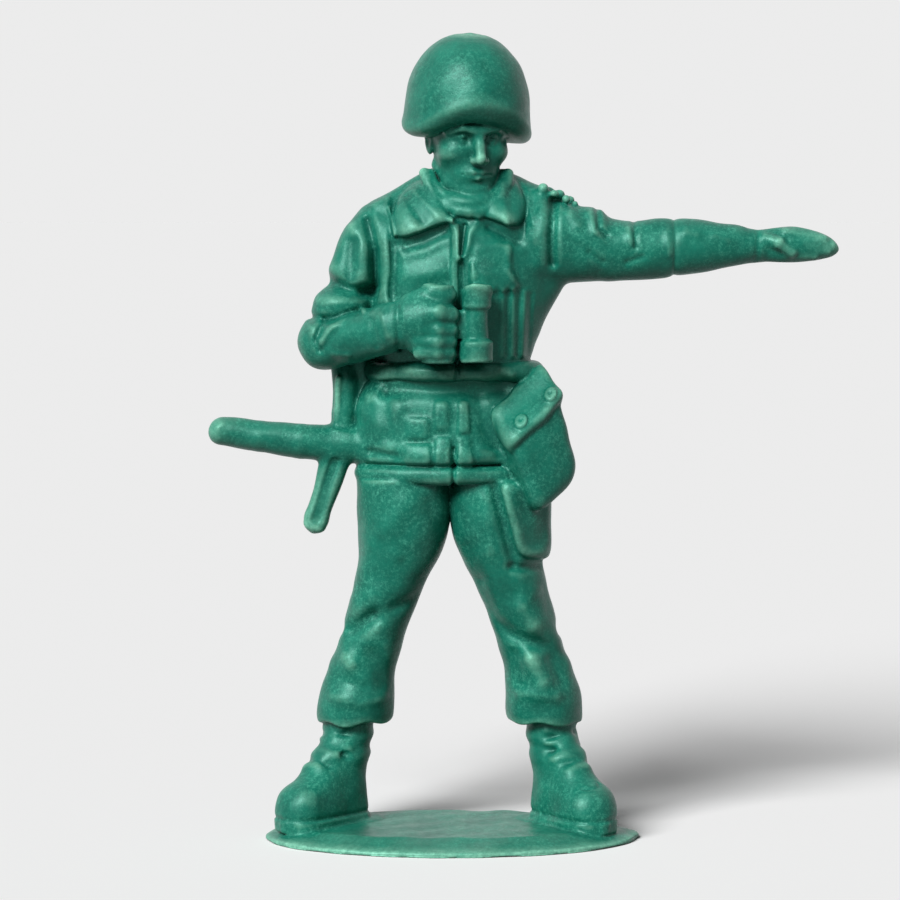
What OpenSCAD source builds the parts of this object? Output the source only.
// Toy soldier: a moulded plastic infantryman on an oval base, pointing with the left arm and
// holding binoculars in the right hand. The figure faces -Y, its own right side is at -X, and
// the origin is the middle of the base's underside. Sizes are in millimetres at 1:32 scale.

/* [Base] */
// Width of the oval base at its edge
base_w = 25.6; // [22:0.1:34]
// Depth of the oval base at its edge
base_d = 15; // [13:0.1:22]
// Height of the flat top above the underside
base_h = 1; // [0.7:0.05:2]
// Height of the upright edge under the sloping rim
base_edge_h = 0.3; // [0.15:0.05:0.5]
// How far the rim slopes in from the edge to the flat top
base_slope_w = 2.2; // [1:0.1:3]

/* [Stance] */
// Distance between the middles of the two ankles
stance_w = 14; // [11:0.1:16.6]
// How far the figure's middle plane lies behind the base's middle
figure_back = 0.6; // [0:0.1:2]
// How far the ankles lie behind the figure's middle plane
ankle_back = 1.6; // [0:0.1:2]
// How far the head leans towards the pointing arm
lean = 1.05; // [0:0.05:2]
// How much higher the pointing shoulder is than the other
shoulder_lift = 1.8; // [0:0.1:2.5]

/* [Boots] */
// Length of a boot, by which its heel and toe are set out from the ankle
boot_l = 8.4; // [6.5:0.1:10]
// Width of a boot at the ball of the foot
boot_w = 3.7; // [2.8:0.1:4.6]
// Height of a boot from the base to the trouser cuff
boot_h = 7; // [5.5:0.1:8.5]
// Width of the boot's shaft at the ankle
shaft_w = 3.5; // [2.6:0.1:4.2]
// Thickness of the sole
sole_t = 0.55; // [0.3:0.05:0.9]
// How far the sole stands out round the upper
welt_w = 0.15; // [0.1:0.01:0.3]

/* [Trousers] */
// Height of a trouser leg from the cuff to the jacket's hem
leg_h = 16.4; // [13:0.1:20]
// Width across both hips
hip_w = 12.7; // [11:0.1:14.5]
// Depth of a thigh, front to back
thigh_d = 6.4; // [5:0.1:7.5]
// Width of the raised pocket on the left thigh
thigh_pocket_w = 3; // [2:0.1:3.8]
// Height of the thigh pocket
thigh_pocket_h = 4.3; // [3.4:0.1:5.2]
// How far the thigh pocket stands out
thigh_pocket_t = 0.4; // [0.25:0.05:0.8]

/* [Jacket] */
// Height of the rolled hem
hem_h = 1.7; // [1.2:0.05:2.2]
// How far the hem's rolls stand out from the hips
hem_t = 0.3; // [0.2:0.05:0.6]
// Height of the jacket's skirt, from the hem to the belt
skirt_h = 5.6; // [4.5:0.1:7]
// Width at the waist
waist_w = 11; // [9.5:0.1:12.5]
// Height of the waist belt
belt_h = 1.25; // [0.9:0.05:1.8]
// How far the belt stands out from the waist
belt_t = 0.4; // [0.25:0.05:0.6]
// Height of the blouse, from the belt to the base of the neck
blouse_h = 12.8; // [11:0.1:15]
// Width across the chest
chest_w = 12.3; // [11:0.1:14]
// Depth of the chest, front to back
chest_d = 7.2; // [6:0.1:8.5]
// Width of the placket down the front
placket_w = 0.9; // [0.5:0.05:1.4]
// How far the placket and the webbing strap stand out
trim_t = 0.3; // [0.15:0.05:0.5]
// Width of the webbing strap over the right shoulder
strap_w = 1.1; // [0.8:0.05:1.6]
// Width of the buckle at the front of the belt
buckle_w = 1.5; // [1:0.1:2.2]
// How far the buckle stands out from the belt
buckle_t = 0.3; // [0.15:0.05:0.5]

/* [Pockets and Pouches] */
// Width of the left chest pocket
chest_pocket_w = 2.9; // [2:0.1:3.6]
// Height of the left chest pocket
chest_pocket_h = 3.1; // [2.5:0.1:3.8]
// Height of the chest pocket's flap
chest_flap_h = 1.1; // [0.7:0.1:1.6]
// How far the chest pocket stands out, its flap twice as far
chest_pocket_t = 0.3; // [0.15:0.05:0.5]
// Width of one cartridge pouch under the belt
pouch_w = 1.25; // [0.9:0.05:1.5]
// Height of a cartridge pouch
pouch_h = 3.4; // [2.6:0.1:4.2]
// How far a pouch stands out from the skirt
pouch_t = 0.6; // [0.3:0.05:0.9]
// Gap between two neighbouring pouches
pouch_gap = 0.3; // [0.2:0.05:0.6]
// Width of the jacket's hip pocket on the right
hip_pocket_w = 3.2; // [2.4:0.1:3.8]
// Height of the jacket's hip pocket
hip_pocket_h = 4.4; // [3.4:0.1:5]
// How far the hip pocket stands out
hip_pocket_t = 0.45; // [0.25:0.05:0.8]

/* [Head and Helmet] */
// Width of the head at the cheekbones
head_w = 5.1; // [4.4:0.1:6]
// Depth of the head, forehead to nape
head_d = 6.2; // [5.2:0.1:7]
// Height of the head from the chin to the crown
head_h = 7.3; // [6.4:0.1:8]
// Width of the neck
neck_w = 3.4; // [2.6:0.1:4]
// How far the chin is held below the base of the neck
chin_drop = 0.8; // [0.3:0.1:1.4]
// How far the head is turned towards the pointing arm, in degrees
head_turn = 16; // [0:1:40]
// How far the head nods down, in degrees
head_nod = 8; // [0:1:15]
// Width of the helmet at its rim
helmet_w = 8.75; // [8:0.05:10]
// Depth of the helmet at its rim
helmet_d = 9.8; // [9:0.1:11]
// Height of the helmet above the lowest point of its rim
helmet_h = 7.3; // [6.8:0.1:8.6]
// How far the rim rises over the face
brim_lift = 2.1; // [1.2:0.1:2.6]
// How far the rim drops towards the pointing arm, in degrees
brim_tilt = 3.5; // [0:0.5:6]
// How far the ridge of the rim stands out from the helmet
brim_w = 0.2; // [0.1:0.05:0.4]
// Wall of the helmet inside its rim
helmet_wall = 0.7; // [0.5:0.05:1]

/* [Collar] */
// Width of the neckerchief round the neck
scarf_w = 5.2; // [4.4:0.1:6]
// Height of the neckerchief
scarf_h = 1.9; // [1.4:0.1:2.4]
// Length of a collar wing, from the neck to its point
wing_l = 4.4; // [3.4:0.1:5.4]
// Height of a collar wing
wing_h = 2.3; // [1.7:0.1:2.9]
// Thickness of a collar wing
wing_t = 0.8; // [0.5:0.05:1.1]

/* [Left Arm] */
// Length of the left arm from the shoulder seam to the wrist
left_arm_l = 14.2; // [12:0.1:16.5]
// Height of the left sleeve at the shoulder
left_sleeve_h = 5.5; // [4.8:0.1:6.2]
// Depth of the left sleeve at the shoulder, front to back
left_sleeve_d = 4.6; // [3.8:0.1:5.4]
// Length of the open left hand
left_hand_l = 6.3; // [5:0.1:7.4]
// Height of the open left hand across its palm
left_hand_w = 2.3; // [1.9:0.1:2.8]
// Thickness of the open left hand
left_hand_t = 1.1; // [0.8:0.05:1.4]

/* [Right Arm] */
// Length of the right upper arm, shoulder to elbow
upper_arm_l = 7.8; // [6.6:0.1:9]
// Thickness of the right upper arm
upper_arm_w = 3.8; // [3.1:0.1:4.4]
// How far the middle of the right shoulder lies behind the front of the chest
shoulder_inset = 3.6; // [3:0.1:4.2]
// How far the right elbow swings out from the shoulder
elbow_out = 3.2; // [2.4:0.1:3.8]
// How far the right elbow is carried forward of the shoulder
elbow_forward = 1.2; // [0.6:0.1:1.8]
// Length of the right forearm, elbow to cuff
forearm_l = 6.4; // [5.4:0.1:7.4]
// Thickness of the right forearm
forearm_w = 3.6; // [3:0.1:4.2]
// How far the fist is held in front of the elbow
reach = 3.7; // [3.1:0.1:4.4]
// Width of the right fist from the wrist to the knuckles
fist_w = 4; // [3.4:0.1:4.7]
// Thickness of one finger of the fist
finger_t = 1; // [0.85:0.05:1.2]

/* [Binoculars] */
// Height of the binoculars
glass_h = 5.1; // [4.2:0.1:6]
// Diameter of the object lens end
lens_d = 2.25; // [1.9:0.05:2.4]
// Diameter of the eyepiece end
eyepiece_d = 2.3; // [1.9:0.05:2.4]
// Diameter of the barrel between them
barrel_d = 1.75; // [1.4:0.05:1.85]
// Distance between the axes of the two barrels
barrel_gap = 2.5; // [2.4:0.05:3]
// Height of the raised rings at the ends
ring_h = 1.35; // [0.9:0.05:1.6]

/* [Map Case] */
// Width of the map case
case_w = 4.8; // [4.2:0.1:5.6]
// Height of the map case
case_h = 8; // [6.8:0.1:9.2]
// Thickness of the map case
case_t = 2.5; // [2:0.1:3]
// How far the case's top edge rises outwards, in degrees
case_tilt = 40; // [30:1:46]
// How far the case faces outwards, in degrees
case_yaw = 25; // [15:1:34]
// How far the case's sides hang out of plumb, in degrees
case_hang = 17; // [8:1:22]
// How far down the case its sloping flap reaches
flap_h = 2.2; // [1.6:0.1:2.8]
// Thickness of the flap
flap_t = 0.25; // [0.15:0.05:0.4]
// Diameter of a press stud on the flap
stud_d = 0.95; // [0.7:0.05:1.2]
// How far a stud stands out from the flap
stud_t = 0.3; // [0.15:0.05:0.4]

/* [Submachine Gun] */
// Length of the gun from the muzzle to the hip
gun_l = 10.9; // [9:0.1:13]
// Diameter of the gun's barrel at the muzzle
muzzle_d = 1.9; // [1.5:0.05:2.3]
// Diameter of the gun's body at the hip
gun_d = 2.5; // [2.1:0.05:3]
// How far the gun's axis lies below the jacket's belt
gun_drop = 4.6; // [3.9:0.1:5.2]
// Length of the magazine from the gun's axis to its end
magazine_l = 6.5; // [5.4:0.1:7.8]
// Width of the magazine
magazine_w = 1.8; // [1.5:0.05:2.1]
// Width of the gun's sling where it hangs free
sling_w = 1.6; // [1.2:0.1:2]
// Thickness of the sling
sling_t = 0.9; // [0.7:0.05:1.3]

/* [Hidden] */

moulding_green = [0.12, 0.45, 0.3];
RIGHT = -1;
LEFT = 1;
FRONT = -1;
BACK = 1;
UP = [0, 0, 1];
FORWARD = [0, -1, 0];
// Length by which a cutting shape runs past what it cuts
overrun = 1;
limb_sides = 16;
torso_sides = 24;
base_sides = 72;
ball_sides = 10;
turned_sides = 24;
// Exponent share of a round section: 1 gives an ellipse, less gives fuller corners
fullness_share = 0.84;

// Heights up the figure, each built on the one below
cuff_z = base_h + boot_h;
hem_z = cuff_z + leg_h;
seam_z = hem_z + hem_h;
belt_z = seam_z + skirt_h;
blouse_z = belt_z + belt_h;
neck_z = blouse_z + blouse_h;
chin_z = neck_z - chin_drop;
sole_z = base_h + sole_t;

// Shapes of the pieces, as shares of their own sizes, chosen by hand

// Trouser leg: height, outward, half width, half depth, backward
leg_ring_shares = [
    [0, 0.9, 0.3, 0.31, 1], [0.014, 0.89, 0.385, 0.4, 1], [0.065, 0.88, 0.415, 0.43, 0.96],
    [0.12, 0.86, 0.41, 0.42, 0.9], [0.2, 0.79, 0.375, 0.385, 0.8], [0.3, 0.66, 0.355, 0.375, 0.66],
    [0.4, 0.53, 0.36, 0.385, 0.5], [0.5, 0.4, 0.375, 0.395, 0.36], [0.61, 0.23, 0.4, 0.42, 0.22],
    [0.72, 0.08, 0.455, 0.455, 0.1], [0.82, 0.01, 0.49, 0.475, 0.04], [0.92, 0, 0.505, 0.485, 0],
    [1, 0, 0.515, 0.49, 0]
];
// Folds of a trouser leg: height, angle, slope, amount, height spread, angle spread
right_leg_fold_shares = [
    [0.1, 330, 0.1, 0.07, 0.035, 0.6], [0.19, 250, -0.15, 0.07, 0.03, 0.5],
    [0.29, 300, 0.2, 0.07, 0.035, 0.5], [0.4, 240, -0.1, 0.05, 0.04, 0.5],
    [0.16, 120, 0.1, 0.05, 0.04, 0.8], [0.32, 60, 0.12, 0.05, 0.04, 0.7]
];
left_leg_fold_shares = [
    [0.1, 220, -0.1, 0.07, 0.035, 0.6], [0.2, 290, 0.15, 0.07, 0.03, 0.5],
    [0.31, 250, -0.2, 0.07, 0.035, 0.5], [0.42, 180, 0.1, 0.06, 0.05, 0.5],
    [0.17, 60, 0.1, 0.05, 0.04, 0.8], [0.33, 110, -0.12, 0.05, 0.04, 0.7]
];
// Boot's upper over the foot: along from the ankle, half width, height
foot_ring_shares = [
    [-0.09, 0.2, 0.2], [-0.075, 0.33, 0.36], [-0.02, 0.41, 0.6], [0.08, 0.44, 0.84],
    [0.18, 0.46, 0.9], [0.3, 0.48, 0.82], [0.44, 0.5, 0.6], [0.57, 0.48, 0.43],
    [0.67, 0.39, 0.32], [0.72, 0.22, 0.17]
];
// Boot's shaft: height, half width, half depth, forward
shaft_ring_shares = [
    [0, 0.42, 0.46, 0.17], [0.3, 0.44, 0.47, 0.12], [0.5, 0.46, 0.49, 0.06], [0.62, 0.5, 0.53, 0.03],
    [0.7, 0.47, 0.5, 0.02], [0.82, 0.51, 0.54, 0], [0.9, 0.48, 0.51, 0], [1, 0.49, 0.52, 0]
];
// Two rolls of the hem: height, how far it stands out
hem_ring_shares = [
    [0, 0.1], [0.1, 0.75], [0.28, 1], [0.46, 0.75], [0.54, 0.3], [0.62, 0.75], [0.8, 1],
    [0.93, 0.75], [1, 0.2]
];
// Skirt: height, hip rather than waist, half depth
skirt_ring_shares = [
    [0, 0.98, 0.5], [0.2, 1, 0.5], [0.42, 1.02, 0.49], [0.64, 1.02, 0.475], [0.84, 0.95, 0.46],
    [1, 0.7, 0.45]
];
// Rolled belt: height, how far it stands out
belt_ring_shares = [[0, 0.2], [0.14, 0.8], [0.4, 1], [0.6, 1], [0.86, 0.8], [1, 0.3]];
// Blouse: height, lean, half width, half depth, backward, shoulder slope
blouse_ring_shares = [
    [0, 0.3, 0.455, 0.455, 0, 0], [0.05, 0.32, 0.47, 0.49, 0, 0], [0.16, 0.36, 0.475, 0.5, 0, 0],
    [0.32, 0.44, 0.48, 0.5, 0, 0.1], [0.48, 0.5, 0.487, 0.5, 0.01, 0.4],
    [0.62, 0.55, 0.485, 0.485, 0.02, 0.8], [0.73, 0.6, 0.475, 0.455, 0.04, 1],
    [0.82, 0.64, 0.45, 0.41, 0.06, 0.9], [0.895, 0.68, 0.405, 0.36, 0.08, 0.65],
    [0.955, 0.8, 0.29, 0.295, 0.1, 0.35], [1, 1, 0.19, 0.24, 0.1, 0.1]
];
// Folds of the blouse: height, angle, slope, amount, height spread, angle spread
blouse_fold_shares = [
    [0.14, 300, 0.06, 0.05, 0.05, 0.5], [0.22, 200, 0.15, 0.05, 0.05, 0.5],
    [0.18, 60, 0.1, 0.05, 0.06, 0.6], [0.2, 130, -0.1, 0.05, 0.06, 0.6],
    [0.42, 90, 0, 0.04, 0.06, 0.8]
];
// Head without its nose: height from the chin, front, back, half width
head_ring_shares = [
    [-0.36, 0.24, 0.28, 0.32], [-0.12, 0.25, 0.28, 0.32], [-0.02, 0.36, 0.27, 0.3],
    [0.03, 0.47, 0.28, 0.3], [0.09, 0.49, 0.31, 0.37], [0.15, 0.455, 0.34, 0.41],
    [0.2, 0.49, 0.36, 0.43], [0.26, 0.48, 0.39, 0.455], [0.33, 0.465, 0.42, 0.48],
    [0.42, 0.455, 0.46, 0.5], [0.5, 0.44, 0.48, 0.5], [0.56, 0.485, 0.5, 0.5],
    [0.66, 0.47, 0.5, 0.495], [0.8, 0.4, 0.45, 0.44], [0.92, 0.27, 0.32, 0.31],
    [1, 0.08, 0.12, 0.1]
];
// Nose: height, forward, radius
nose_shares = [[0.51, 0.45, 0.05], [0.36, 0.5, 0.07], [0.29, 0.55, 0.075]];
// Helmet, turned in below the ridge of its rim: height, radius, how much of the ridge it carries
helmet_ring_shares = [
    [0, 0.87, 0], [0.04, 0.93, 0.4], [0.09, 0.97, 1], [0.13, 0.975, 1], [0.18, 0.98, 0.2],
    [0.26, 0.98, 0], [0.42, 0.955, 0], [0.56, 0.9, 0], [0.69, 0.81, 0], [0.8, 0.69, 0],
    [0.89, 0.53, 0], [0.955, 0.34, 0], [0.99, 0.16, 0], [1, 0.05, 0]
];
// Neckerchief: height, spread, from a low front fold to the nape
scarf_ring_shares = [[0, 0.86], [0.2, 1], [0.45, 0.96], [0.62, 0.86], [0.78, 0.7]];
// Roll of the neckerchief round the front of the neck: across, forward, height from the neck's base
scarf_roll_shares = [
    [-0.45, 0.17, 0.13], [-0.36, 0.32, -0.34], [-0.21, 0.41, -0.79], [-0.07, 0.45, -1.03],
    [0.09, 0.45, -1.03], [0.24, 0.42, -0.82], [0.37, 0.32, -0.4], [0.43, 0.17, 0.18]
];
// Corners of a collar wing from the top of the placket: outward share of its length, upward share
// of its height
wing_corner_shares = [[0.05, 0.1], [0.2, -0.3], [0.89, -0.72], [0.8, 0.2], [0.42, 0.95]];
// Left arm's upper sleeve and forearm sleeve: along, half height, half depth, sag
left_upper_ring_shares = [
    [-0.06, 0.58, 0.5, 0.08], [0.02, 0.56, 0.5, 0.06], [0.09, 0.52, 0.49, 0.05], [0.16, 0.49, 0.47, 0.07],
    [0.25, 0.465, 0.45, 0.08], [0.31, 0.425, 0.44, 0.115], [0.375, 0.38, 0.42, 0.155],
    [0.45, 0.375, 0.4, 0.14], [0.54, 0.37, 0.39, 0.11], [0.61, 0.355, 0.38, 0.11]
];
left_forearm_ring_shares = [
    [0.61, 0.362, 0.39, 0.11], [0.65, 0.36, 0.385, 0.11], [0.71, 0.345, 0.37, 0.105],
    [0.77, 0.325, 0.345, 0.1], [0.86, 0.285, 0.31, 0.09], [0.94, 0.235, 0.28, 0.085],
    [1, 0.2, 0.26, 0.08]
];
// Right upper sleeve and forearm sleeve: along, half thickness, outward swell
upper_arm_ring_shares = [
    [-0.2, 0.36, -0.1], [-0.1, 0.5, -0.02], [0.02, 0.55, 0], [0.15, 0.53, 0.04], [0.28, 0.49, 0.04],
    [0.42, 0.48, 0.02], [0.56, 0.46, 0], [0.7, 0.49, 0], [0.82, 0.47, 0], [0.92, 0.46, 0],
    [1, 0.4, 0]
];
forearm_ring_shares = [
    [-0.3, 0.3], [-0.22, 0.42], [-0.1, 0.52], [0.06, 0.54], [0.22, 0.49], [0.38, 0.5], [0.54, 0.46],
    [0.72, 0.46], [0.88, 0.42], [1, 0.4]
];
// Fingers of the open left hand: across, start, end
open_finger_shares = [
    [0.3, 0.4, 0.93], [0.08, 0.4, 1], [-0.14, 0.4, 0.97], [-0.34, 0.4, 0.84]
];
// Free stretch of the gun's sling: height from the gun to the elbow, sideways, backward
sling_ring_shares = [[0, 0, 0], [0.3, 0.03, 0.1], [0.6, 0.06, 0.3], [0.85, 0.02, 0.6], [1, -0.04, 0.85]];

// Smooth curve through four neighbouring keys, at t between the second and the third
function catmull(a, b, c, d, t) =
    0.5 * ((2 * b) + (c - a) * t + (2 * a - 5 * b + 4 * c - d) * t * t
        + (3 * b - a - 3 * c + d) * t * t * t);
function key_at(keys, i) = keys[max(0, min(len(keys) - 1, i))];
function smooth_keys(keys, steps) = [
    for (i = [0:len(keys) - 2]) for (s = [0:steps - 1])
        catmull(key_at(keys, i - 1), keys[i], keys[i + 1], key_at(keys, i + 2), s / steps),
    keys[len(keys) - 1]
];
function between(a, b, share) = a + (b - a) * share;
function unit(v) = v / norm(v);
function place(ring) = [ring[0], ring[1], ring[2]];
function heading(rings, i) = unit(place(key_at(rings, i + 1)) - place(key_at(rings, i - 1)));
// Power of a sine or cosine that keeps its sign
function full(v, e = fullness_share) = sign(v) * pow(abs(v), e);
// How far an angle lies from another, as a share of a half turn, between -1 and 1
function turn_share(a, b) = ((a - b + 540) % 360 - 180) / 180;
// Swell of the folds at a height share and an angle
function swell(folds, h, a) = len(folds) == 0 ? 0 : [for (f = folds)
    let (t = turn_share(a, f[1]), rise = (h - f[0] - f[2] * t) / f[4], side = t / f[5] * 2)
        f[3] * exp(-rise * rise) * exp(-side * side)] * [for (f = folds) 1];

// A ring is its middle's x, y and z, its half width, its half depth and its slope across.
// Upright rings stay level and start at -X, going round by the back.
function upright_points(ring, h, sides, folds) = [for (j = [0:sides - 1])
    let (a = 360 * j / sides, k = 1 + swell(folds, h, a), c = -full(cos(a)), s = full(sin(a)))
        [ring[0] + ring[3] * c * k, ring[1] + ring[4] * s * k, ring[2] + ring[5] * ring[3] * c]];
function followed_points(rings, i, sides, facing) =
    let (t = heading(rings, i), across = unit(cross(t, facing)), deep = cross(across, t))
    [for (j = [0:sides - 1]) let (a = 360 * j / sides)
        place(rings[i]) + across * rings[i][3] * full(cos(a)) + deep * rings[i][4] * full(sin(a))];

module skin(rows) {
    sides = len(rows[0]);
    last = (len(rows) - 1) * sides;
    walls = [for (i = [0:len(rows) - 2]) for (j = [0:sides - 1])
        let (a = i * sides + j, b = i * sides + (j + 1) % sides)
            each [[a, b, b + sides], [a, b + sides, a + sides]]];
    bottom = [for (j = [sides - 1:-1:0]) j];
    top = [for (j = [0:sides - 1]) last + j];
    polyhedron([for (row = rows) each row], concat(walls, [bottom, top]), convexity = 6);
}
// Upright form through level rings
module upright(keys, sides = limb_sides, steps = 1, folds = []) {
    rings = smooth_keys(keys, steps);
    skin([for (i = [0:len(rings) - 1])
        upright_points(rings[i], i / (len(rings) - 1), sides, folds)]);
}
// Form whose rings stand square to their path
module followed(keys, sides = limb_sides, steps = 1, facing = FORWARD) {
    rings = smooth_keys(keys, steps);
    skin([for (i = [0:len(rings) - 1]) followed_points(rings, i, sides, facing)]);
}
module bead(at, d) {
    translate(at) sphere(d = d, $fn = ball_sides);
}
// Everything on one side of the middle plane, as large as the hips need
module half_space(side) {
    reach_w = hip_w + stance_w;
    translate([side > 0 ? 0 : -reach_w, -reach_w, 0]) cube([reach_w, 2 * reach_w, hem_z + overrun]);
}

// Rings of the body's forms
function body_ring(x, y, z, half_w, half_d, slope = 0) = [x, figure_back + y, z, half_w, half_d, slope];
function leg_rings(side) = [for (s = leg_ring_shares)
    body_ring(side * between(hip_w / 4, stance_w / 2, s[1]), ankle_back * s[4],
        between(cuff_z, hem_z, s[0]), hip_w / 2 * s[2], thigh_d * s[3])];
hem_rings = [for (s = hem_ring_shares)
    body_ring(0, 0, between(hem_z, seam_z, s[0]), hip_w / 2 + hem_t * s[1], thigh_d / 2 + hem_t * s[1])];
skirt_rings = [for (s = skirt_ring_shares)
    body_ring(lean * 0.3 * s[0], 0, between(seam_z, belt_z, s[0]),
        between(waist_w, hip_w, s[1]) / 2, chest_d * s[2])];
belt_rings = [for (s = belt_ring_shares)
    body_ring(lean * 0.3, 0, between(belt_z, blouse_z, s[0]),
        waist_w / 2 + belt_t * s[1], chest_d * 0.46 + belt_t * s[1])];
blouse_rings = [for (s = blouse_ring_shares)
    body_ring(lean * s[1], chest_d * s[4], between(blouse_z, neck_z, s[0]),
        between(waist_w, chest_w, min(1, s[0] * 2)) * s[2], chest_d * s[3],
        shoulder_lift / chest_w * s[5])];

// Front of a form of level rings, where x and z meet it
function ring_value(rings, i, z) = lookup(z, [for (r = rings) [r[2], r[i]]]);
function front_y(rings, x, z) =
    let (level_z = z - ring_value(rings, 5, z) * (x - ring_value(rings, 0, z)),
        u = min(1, abs(x - ring_value(rings, 0, level_z)) / ring_value(rings, 3, level_z)))
        ring_value(rings, 1, level_z)
            - ring_value(rings, 4, level_z) * pow(1 - pow(u, 2 / fullness_share), fullness_share / 2);
function on_side(rings, x, z, side) =
    let (middle_y = ring_value(rings, 1, z), out = middle_y - front_y(rings, x, z))
        [x, middle_y + side * out, z];
function on_front(rings, x, z) = on_side(rings, x, z, FRONT);

module leg_form(side) {
    upright(leg_rings(side), folds = side == RIGHT ? right_leg_fold_shares : left_leg_fold_shares);
}
module skirt_form() {
    upright(skirt_rings, sides = torso_sides);
}
module hem_form() {
    upright(hem_rings, sides = torso_sides);
}
module belt_form() {
    upright(belt_rings, sides = torso_sides);
}
module blouse_form() {
    upright(blouse_rings, sides = torso_sides, folds = blouse_fold_shares);
}

// Base

function oval(w, d, z) = [for (j = [0:base_sides - 1])
    let (a = -360 * j / base_sides) [w / 2 * cos(a), d / 2 * sin(a), z]];
module base() {
    color(moulding_green) union() {
        linear_extrude(base_edge_h) polygon([for (p = oval(base_w, base_d, 0)) [p[0], p[1]]]);
        skin([oval(base_w, base_d, base_edge_h),
            oval(base_w - 2 * base_slope_w, base_d - 2 * base_slope_w, base_h)]);
    }
}

// Boots

toe_out_right = 45;
toe_out_left = 35;
function foot_keys() = smooth_keys(foot_ring_shares, 1);
// Foot along -Y from the ankle, standing on z = 0
module foot_form() {
    followed([for (s = foot_keys()) [0, -boot_l * s[0], 0, boot_w * s[1], (boot_h - sole_t) * s[2]]],
        facing = UP);
}
module sole() {
    widths = smooth_keys(foot_ring_shares, 2);
    right_edge = [for (s = widths) [-boot_w * s[1] - welt_w, -boot_l * s[0]]];
    left_edge = [for (i = [len(widths) - 1:-1:0]) [boot_w * widths[i][1] + welt_w, -boot_l * widths[i][0]]];
    linear_extrude(sole_t) polygon(concat(right_edge, left_edge));
}
module shaft_form() {
    shaft_h = boot_h - sole_t;
    upright([for (s = shaft_ring_shares)
        [0, -boot_l * s[3], shaft_h * s[0], shaft_w * s[1], shaft_w * s[2], 0]]);
}
module boot(side, toe_out) {
    color(moulding_green)
    translate([side * stance_w / 2, figure_back + ankle_back, base_h]) rotate(side * toe_out) {
        sole();
        translate([0, 0, sole_t]) difference() {
            union() {
                foot_form();
                shaft_form();
            }
            translate([-boot_w, -boot_l, -boot_h]) cube([2 * boot_w, 2 * boot_l, boot_h]);
        }
    }
}
module right_boot() {
    boot(RIGHT, toe_out_right);
}
module left_boot() {
    boot(LEFT, toe_out_left);
}

// Trousers

module trouser_leg(side) {
    color(moulding_green) difference() {
        leg_form(side);
        half_space(-side);
    }
}
module right_trouser_leg() {
    trouser_leg(RIGHT);
}
module left_trouser_leg() {
    trouser_leg(LEFT);
}
// Raised pocket on the front of the left thigh, under the map case
module thigh_pocket_form() {
    rings = leg_rings(LEFT);
    top_z = hem_z - thigh_pocket_t;
    left_x = hip_w * 0.26 - thigh_pocket_w * 0.15;
    hull() for (v = [0, 1]) for (u = [0, 0.5, 1])
        bead(on_front(rings, left_x + thigh_pocket_w * (u + 0.2 * v), top_z - thigh_pocket_h * v),
            2 * thigh_pocket_t);
}
module thigh_pocket() {
    color(moulding_green) difference() {
        thigh_pocket_form();
        leg_form(LEFT);
    }
}

// Jacket below the belt

module jacket_hem() {
    color(moulding_green) hem_form();
}
module jacket_skirt() {
    color(moulding_green) skirt_form();
}
// Flat pad on the front of the skirt, with its lower left corner at x and z
module skirt_pad(x, z, w, h, t) {
    hull() for (u = [0, 1]) for (v = [0, 1])
        bead(on_front(skirt_rings, x + w * u, z + h * v), 2 * t);
}
module cartridge_pouches() {
    step = pouch_w + pouch_gap;
    top_z = belt_z - pouch_t;
    color(moulding_green) difference() {
        for (i = [-2:0]) skirt_pad(step * i + pouch_t, top_z - pouch_h + pouch_t,
            pouch_w - pouch_t, pouch_h - pouch_t, pouch_t);
        skirt_form();
        belt_form();
    }
}
module hip_pocket_form() {
    skirt_pad(-waist_w / 2 + hip_pocket_t / 2, belt_z - hip_pocket_h, hip_pocket_w * 0.55,
        hip_pocket_h - 2 * hip_pocket_t, hip_pocket_t);
}
module hip_pocket() {
    color(moulding_green) difference() {
        hip_pocket_form();
        skirt_form();
        belt_form();
    }
}
module waist_belt() {
    color(moulding_green) belt_form();
}
module belt_buckle() {
    color(moulding_green) difference() {
        hull() for (u = [-1, 1]) for (v = [0.25, 0.75])
            bead(on_front(belt_rings, lean * 0.4 + buckle_w / 2 * u, between(belt_z, blouse_z, v)),
                2 * buckle_t);
        belt_form();
    }
}

// Jacket above the belt

module jacket_blouse() {
    color(moulding_green) difference() {
        union() {
            blouse_form();
            armpit_form();
        }
        head_form();
    }
}
// Cloth stretched under the pointing arm
module armpit_form() {
    hull() {
        bead(left_shoulder + [left_sleeve_h * 0.12, 0, -left_sleeve_h * 0.36], left_sleeve_h * 0.5);
        bead(left_shoulder + [-left_sleeve_h * 0.17, 0, -left_sleeve_h * 1.05], left_sleeve_h * 0.3);
    }
}
// Strip that follows the front or the back of the blouse through points given as x and height
module chest_strip(points, w, t, side = FRONT) {
    followed([for (p = points) concat(on_side(blouse_rings, p[0], p[1], side), [w / 2, t])],
        sides = 8, facing = FORWARD);
}
placket_top_z = neck_z - blouse_h * 0.23;
module front_placket() {
    bottom_z = blouse_z + belt_h;
    top_z = placket_top_z - wing_h * 0.6;
    color(moulding_green) difference() {
        chest_strip([for (i = [0:6]) [lean * 0.6, between(bottom_z, top_z, i / 6)]], placket_w, trim_t);
        blouse_form();
    }
}
// Pocket with a raised flap on the left breast
module chest_pocket() {
    x = lean * 0.6 + placket_w / 2 + 2 * chest_pocket_t;
    z = blouse_z + blouse_h * 0.4;
    top_z = z + chest_pocket_h;
    color(moulding_green) difference() {
        for (piece = [[z, 2 * chest_pocket_t], [top_z - chest_flap_h, 4 * chest_pocket_t]])
            hull() for (u = [0, 1]) for (piece_z = [piece[0], top_z])
                bead(on_front(blouse_rings, x + chest_pocket_w * u, piece_z), piece[1]);
        blouse_form();
        wing_form(LEFT);
    }
}
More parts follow.
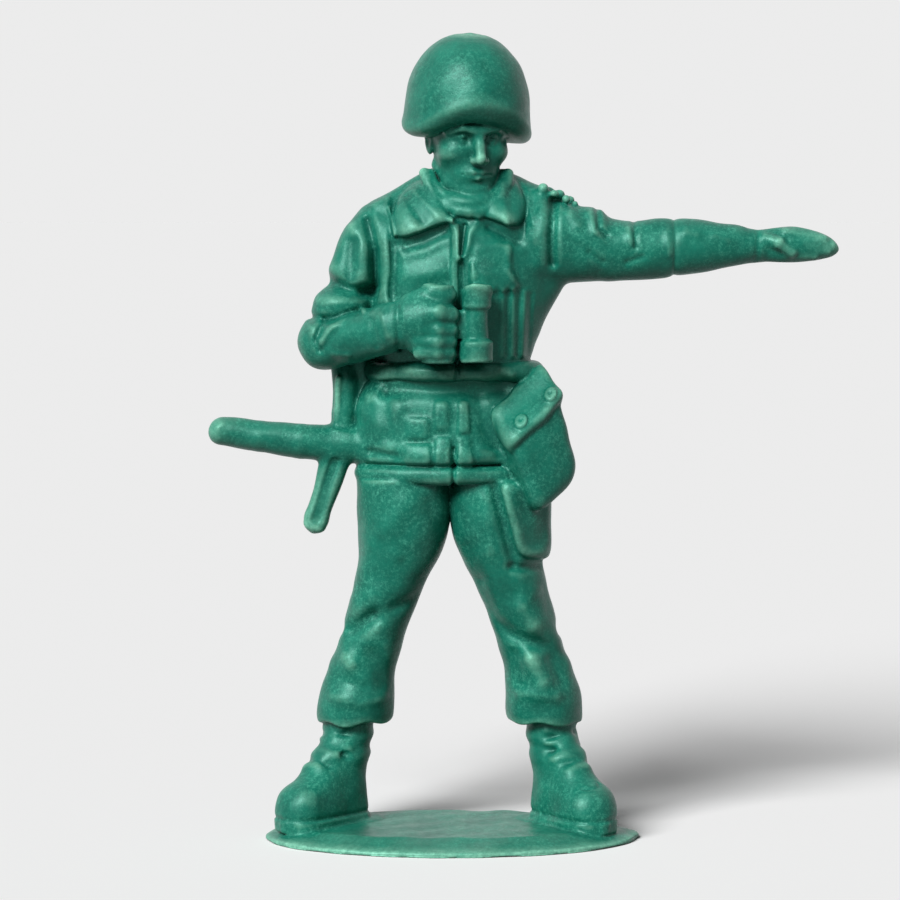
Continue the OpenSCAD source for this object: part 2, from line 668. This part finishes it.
// Webbing strap from behind the right forearm up to the shoulder, and down the back to the belt
module webbing_strap() {
    top_z = neck_z - blouse_h * 0.26;
    color(moulding_green) difference() {
        for (side = [FRONT, BACK])
            let (bottom_z = blouse_z + blouse_h * (side == FRONT ? 0.22 : 0.06))
                chest_strip([for (i = [0:7])
                    [-chest_w * between(0.34, 0.31, i / 7), between(bottom_z, top_z, i / 7)]],
                    strap_w, trim_t, side);
        blouse_form();
        wing_form(RIGHT);
        forearm_form();
        upper_arm_form();
    }
}

// Neck and collar

module scarf_form() {
    bottom_z = neck_z - scarf_h * 1.25;
    half_d = chest_d * 0.42;
    roll_r = scarf_h * 0.24;
    upright([for (s = scarf_ring_shares)
        body_ring(lean, -chest_d * 0.01, bottom_z + scarf_h * s[0], scarf_w / 2 * s[1], half_d * s[1])]);
    followed([for (s = scarf_roll_shares)
        limb_ring([lean + scarf_w * s[0], figure_back - chest_d * s[1], neck_z + scarf_h * s[2]],
            roll_r, roll_r)], sides = 8);
}
module neckerchief() {
    color(moulding_green) difference() {
        scarf_form();
        blouse_form();
        head_form();
    }
}
module wing_form(side) {
    hull() for (s = wing_corner_shares)
        bead(on_front(blouse_rings, lean * 0.6 + side * (placket_w / 4 + wing_l * s[0]),
            placket_top_z + wing_h * s[1]), wing_t);
}
module collar_wing(side) {
    color(moulding_green) difference() {
        wing_form(side);
        blouse_form();
        scarf_form();
        head_form();
    }
}
module right_collar_wing() {
    collar_wing(RIGHT);
}
module left_collar_wing() {
    collar_wing(LEFT);
}

// Head and helmet

module at_head() {
    translate([lean, figure_back, chin_z]) rotate([head_nod, 0, head_turn]) children();
}
function head_ring(s) =
    let (front = -head_d * s[1], back = head_d * s[2], round_w = s[0] < 0 ? neck_w * 1.5 : head_w)
        [0, (front + back) / 2, head_h * s[0], round_w * s[3], (back - front) / 2, 0];
module head_form() {
    at_head() upright([for (s = head_ring_shares) head_ring(s)], sides = 20);
}
// A plain face of even proportions: nose, eye hollows, eyes, lips and ears
module head() {
    eye_x = head_w * 0.21;
    eye_z = head_h * 0.47;
    mouth_z = head_h * 0.17;
    color(moulding_green) difference() {
        union() {
            head_form();
            at_head() {
                hull() for (s = nose_shares) bead([0, -head_d * s[1], head_h * s[0]], 2 * head_w * s[2]);
                hull() for (side = [RIGHT, LEFT])
                    bead([side * head_w * 0.1, -head_d * 0.46, mouth_z + head_h * 0.02], head_h * 0.05);
                hull() for (side = [RIGHT, LEFT])
                    bead([side * head_w * 0.08, -head_d * 0.46, mouth_z - head_h * 0.03], head_h * 0.055);
            }
        }
        at_head() for (side = [RIGHT, LEFT])
            bead([side * eye_x, -head_d * 0.53, eye_z], head_w * 0.24);
    }
}
// Dome whose rim arches up over the face, and a little over the nape
module dome(w, d, h, brim, lift) {
    sides = torso_sides;
    skin([for (s = helmet_ring_shares) [for (j = [0:sides - 1])
        let (a = 360 * j / sides, x = -(w / 2 * s[1] + brim * s[2]) * cos(a),
            arch = lift * (sin(a) < 0 ? 1 : 0.3) * pow(abs(sin(a)), 2.2))
            [x, (d / 2 * s[1] + brim * s[2]) * sin(a), between(arch - tan(brim_tilt) * x, h, s[0])]]]);
}
helmet_z = head_h * 0.425;
module helmet() {
    inner_w = helmet_w - 2 * helmet_wall;
    inner_d = helmet_d - 2 * helmet_wall;
    color(moulding_green) difference() {
        at_head() translate([0, head_d * 0.06, helmet_z])
            dome(helmet_w, helmet_d, helmet_h, brim_w, brim_lift);
        at_head() translate([0, head_d * 0.06, helmet_z - 2 * helmet_wall])
            dome(inner_w, inner_d, helmet_h * 0.42 + helmet_wall, 0, brim_lift);
        head_form();
    }
}

// Right arm, bent across the body

right_shoulder = [-chest_w * 0.42, figure_back - chest_d / 2 + shoulder_inset, blouse_z + blouse_h * 0.66];
elbow_drop = sqrt(upper_arm_l * upper_arm_l - elbow_out * elbow_out - elbow_forward * elbow_forward);
right_elbow = right_shoulder + [-elbow_out, -elbow_forward, -elbow_drop];
forearm_rise = upper_arm_w * 0.28;
forearm_in = sqrt(forearm_l * forearm_l - reach * reach - forearm_rise * forearm_rise);
right_wrist = right_elbow + [forearm_in, -reach, forearm_rise];
function limb_ring(at, half_w, half_d) = concat(at, [half_w, half_d]);
module upper_arm_form() {
    followed([for (s = upper_arm_ring_shares)
        limb_ring(between(right_shoulder, right_elbow, s[0]) + [-upper_arm_w * s[2], 0, 0],
            upper_arm_w * s[1], upper_arm_w * s[1])]);
}
module forearm_form() {
    followed([for (s = forearm_ring_shares)
        limb_ring(between(right_elbow, right_wrist, s[0]), forearm_w * s[1], forearm_w * s[1])],
        facing = UP);
}
module right_upper_sleeve() {
    color(moulding_green) difference() {
        upper_arm_form();
        blouse_form();
    }
}
module right_forearm_sleeve() {
    color(moulding_green) difference() {
        forearm_form();
        upper_arm_form();
        blouse_form();
    }
}
// Fist whose fingers close round the near barrel of the binoculars
fist_middle = right_wrist + [fist_w * 0.42, -reach * 0.1, forearm_rise * 0.25];
module fist_form() {
    knuckle = fist_middle + [-fist_w * 0.34, -forearm_w * 0.2, 0];
    hull() for (u = [-0.5, 0.05]) for (v = [-1.7, 1.9])
        bead(fist_middle + [fist_w * u, forearm_w * 0.12, finger_t * v], 1.6 * finger_t);
    for (i = [-2:2]) hull() {
        bead(knuckle + [0, 0, finger_t * i], 1.35 * finger_t);
        bead(knuckle + [fist_w * 0.4, -finger_t * 0.7, finger_t * i], 1.3 * finger_t);
        bead(knuckle + [fist_w * 0.78, -finger_t * 0.3, finger_t * i], 1.15 * finger_t);
    }
}
module right_fist() {
    color(moulding_green) difference() {
        fist_form();
        forearm_form();
        blouse_form();
        binocular_form();
    }
}
// Binoculars: two turned barrels joined by a bridge
glass_middle = fist_middle + [fist_w * 0.48, 0, 0];
module barrel() {
    waist_r = barrel_d / 2;
    rotate_extrude($fn = turned_sides) polygon([
        [0, 0], [lens_d / 2, 0], [lens_d / 2, ring_h], [waist_r, ring_h * 1.3],
        [waist_r, glass_h - ring_h * 1.2], [eyepiece_d / 2, glass_h - ring_h],
        [eyepiece_d / 2, glass_h], [0, glass_h]
    ]);
}
module binocular_form() {
    translate(glass_middle + [0, 0, -glass_h / 2]) {
        for (side = [0, 1]) translate([barrel_gap * (side - 0.5), 0, 0]) barrel();
        translate([-barrel_gap / 2, -barrel_d / 4, ring_h * 1.3])
            cube([barrel_gap, barrel_d / 2, glass_h - ring_h * 2.6]);
    }
}
module binoculars() {
    color(moulding_green) binocular_form();
}

// Left arm, held out level and pointing

left_shoulder = [lean * 0.6 + chest_w * 0.46, figure_back - chest_d * 0.08, right_shoulder[2]];
function left_ring(s) = [left_shoulder[0] + left_arm_l * s[0], left_shoulder[1],
    left_shoulder[2] - left_sleeve_h * s[3], left_sleeve_d * s[2], left_sleeve_h * s[1]];
module left_upper_form() {
    followed([for (s = left_upper_ring_shares) left_ring(s)], facing = UP);
}
module left_forearm_form() {
    followed([for (s = left_forearm_ring_shares) left_ring(s)], facing = UP);
}
module left_upper_sleeve() {
    color(moulding_green) difference() {
        left_upper_form();
        blouse_form();
        armpit_form();
    }
}
module left_forearm_sleeve() {
    color(moulding_green) left_forearm_form();
}
module left_hand() {
    wrist = left_shoulder + [left_arm_l, 0, -left_sleeve_h * 0.08];
    color(moulding_green) difference() {
        translate(wrist) {
            hull() {
                bead([0, 0, 0], left_hand_t * 1.5);
                for (v = [-0.26, 0.26])
                    bead([left_hand_l * 0.42, 0, left_hand_w * v], left_hand_t * 1.05);
            }
            for (s = open_finger_shares) hull() {
                bead([left_hand_l * s[1], 0, left_hand_w * s[0]], left_hand_t * 0.9);
                bead([left_hand_l * s[2] - left_hand_t / 2, 0, left_hand_w * s[0] * 0.7],
                    left_hand_t * 0.7);
            }
            hull() {
                bead([left_hand_l * 0.16, -left_hand_t * 0.25, left_hand_w * 0.32], left_hand_t * 0.9);
                bead([left_hand_l * 0.52, -left_hand_t * 0.35, left_hand_w * 0.38], left_hand_t * 0.65);
            }
        }
        left_forearm_form();
    }
}

// Map case on the left hip, out of square, under a sloping flap with two press studs

case_middle = [hip_w * 0.465, figure_back - chest_d * 0.42, seam_z + skirt_h * 0.235];
case_corner = case_t * 0.2;
// How much of the inner half of the case's width is left at its bottom
case_taper_share = 0.74;
case_across = [cos(case_tilt) * cos(case_yaw), cos(case_tilt) * sin(case_yaw), sin(case_tilt)];
case_down = [sin(case_hang) * cos(case_yaw), sin(case_hang) * sin(case_yaw), -cos(case_hang)];
case_out = unit(cross(case_down, case_across));
// Centre of a rounded corner, by its side, its distance down from the top and whether it is in front
function case_bead(side, drop, front) = case_middle
    + case_across * side * (case_w / 2 - case_corner)
    + case_down * (drop - case_h / 2)
    + case_out * front * (case_t / 2 - case_corner);
flap_top = case_bead(0, case_corner, -1);
flap_fold = case_bead(0, flap_h, 1);
flap_out = unit(cross(flap_fold - flap_top, case_across));
module case_form() {
    hull() {
        for (side = [-1, 1]) {
            bead(case_bead(side, case_corner, -1), 2 * case_corner);
            bead(case_bead(side, flap_h, 1), 2 * case_corner);
        }
        for (side = [-case_taper_share, 1]) for (front = [-1, 1])
            bead(case_bead(side, case_h - case_corner, front), 2 * case_corner);
    }
}
module map_case() {
    color(moulding_green) difference() {
        case_form();
        skirt_form();
        belt_form();
        hem_form();
        leg_form(LEFT);
        thigh_pocket_form();
    }
}
module flap_form() {
    hull() for (side = [-1, 1]) {
        bead(case_bead(side, case_corner, -1), 2 * (case_corner + flap_t));
        bead(case_bead(side, flap_h, 1), 2 * (case_corner + flap_t));
    }
}
module map_case_flap() {
    color(moulding_green) difference() {
        flap_form();
        case_form();
        skirt_form();
        belt_form();
        blouse_form();
    }
}
module flap_studs() {
    color(moulding_green) difference() {
        for (u = [-0.26, 0.36])
            translate(between(flap_top, flap_fold, 0.8) + case_across * case_w * u
                    + flap_out * (case_corner + flap_t - stud_t))
                rotate([0, acos(flap_out[2]), atan2(flap_out[1], flap_out[0])])
                    cylinder(d1 = stud_d, d2 = stud_d * 0.7, h = 2 * stud_t, $fn = turned_sides);
        flap_form();
    }
}

// Submachine gun slung at the right hip

gun_root = [-hip_w / 2 + gun_d / 4, figure_back - chest_d * 0.06, belt_z - gun_drop];
gun_rise = 7;
module at_gun() {
    translate(gun_root) rotate([0, -90 + gun_rise, 0]) children();
}
module gun_form() {
    at_gun() {
        cylinder(d1 = gun_d, d2 = muzzle_d, h = gun_l - muzzle_d / 2, $fn = turned_sides);
        translate([0, 0, gun_l - muzzle_d / 2]) sphere(d = muzzle_d, $fn = turned_sides);
    }
}
module submachine_gun() {
    color(moulding_green) difference() {
        gun_form();
        skirt_form();
        hem_form();
        hip_pocket_form();
    }
}
magazine_slant = 16;
module gun_magazine() {
    top = gun_root + [-gun_d * 0.72, 0, 0];
    color(moulding_green) difference() {
        translate(top) rotate([0, magazine_slant, 0]) {
            hull() for (z = [-gun_d * 0.2, -magazine_l + magazine_w / 2])
                translate([0, magazine_w * 0.36, z]) rotate([90, 0, 0])
                    cylinder(d = magazine_w, h = magazine_w * 0.72, $fn = turned_sides / 2);
        }
        gun_form();
        translate(top) rotate([0, magazine_slant, 0])
            translate([-magazine_w * 0.14, -magazine_w * 0.42, -magazine_l * 0.86])
                cube([magazine_w * 0.28, magazine_w * 0.14, magazine_l * 0.6]);
        leg_form(RIGHT);
        hem_form();
        skirt_form();
    }
}
module gun_sling() {
    bottom = gun_root + [-gun_d * 0.6, 0, 0];
    top_z = right_elbow[2] + upper_arm_w * 0.1;
    color(moulding_green) difference() {
        followed([for (s = sling_ring_shares)
            limb_ring(bottom + [sling_w * s[1], chest_d * 0.3 * s[2], (top_z - bottom[2]) * s[0]],
                sling_w / 2, sling_t / 2)], sides = 8);
        gun_form();
        skirt_form();
        belt_form();
        blouse_form();
        forearm_form();
        upper_arm_form();
    }
}

base();
right_boot();
left_boot();
right_trouser_leg();
left_trouser_leg();
thigh_pocket();
jacket_hem();
jacket_skirt();
cartridge_pouches();
hip_pocket();
waist_belt();
belt_buckle();
jacket_blouse();
front_placket();
chest_pocket();
webbing_strap();
neckerchief();
right_collar_wing();
left_collar_wing();
head();
helmet();
right_upper_sleeve();
right_forearm_sleeve();
right_fist();
binoculars();
left_upper_sleeve();
left_forearm_sleeve();
left_hand();
map_case();
map_case_flap();
flap_studs();
submachine_gun();
gun_magazine();
gun_sling();
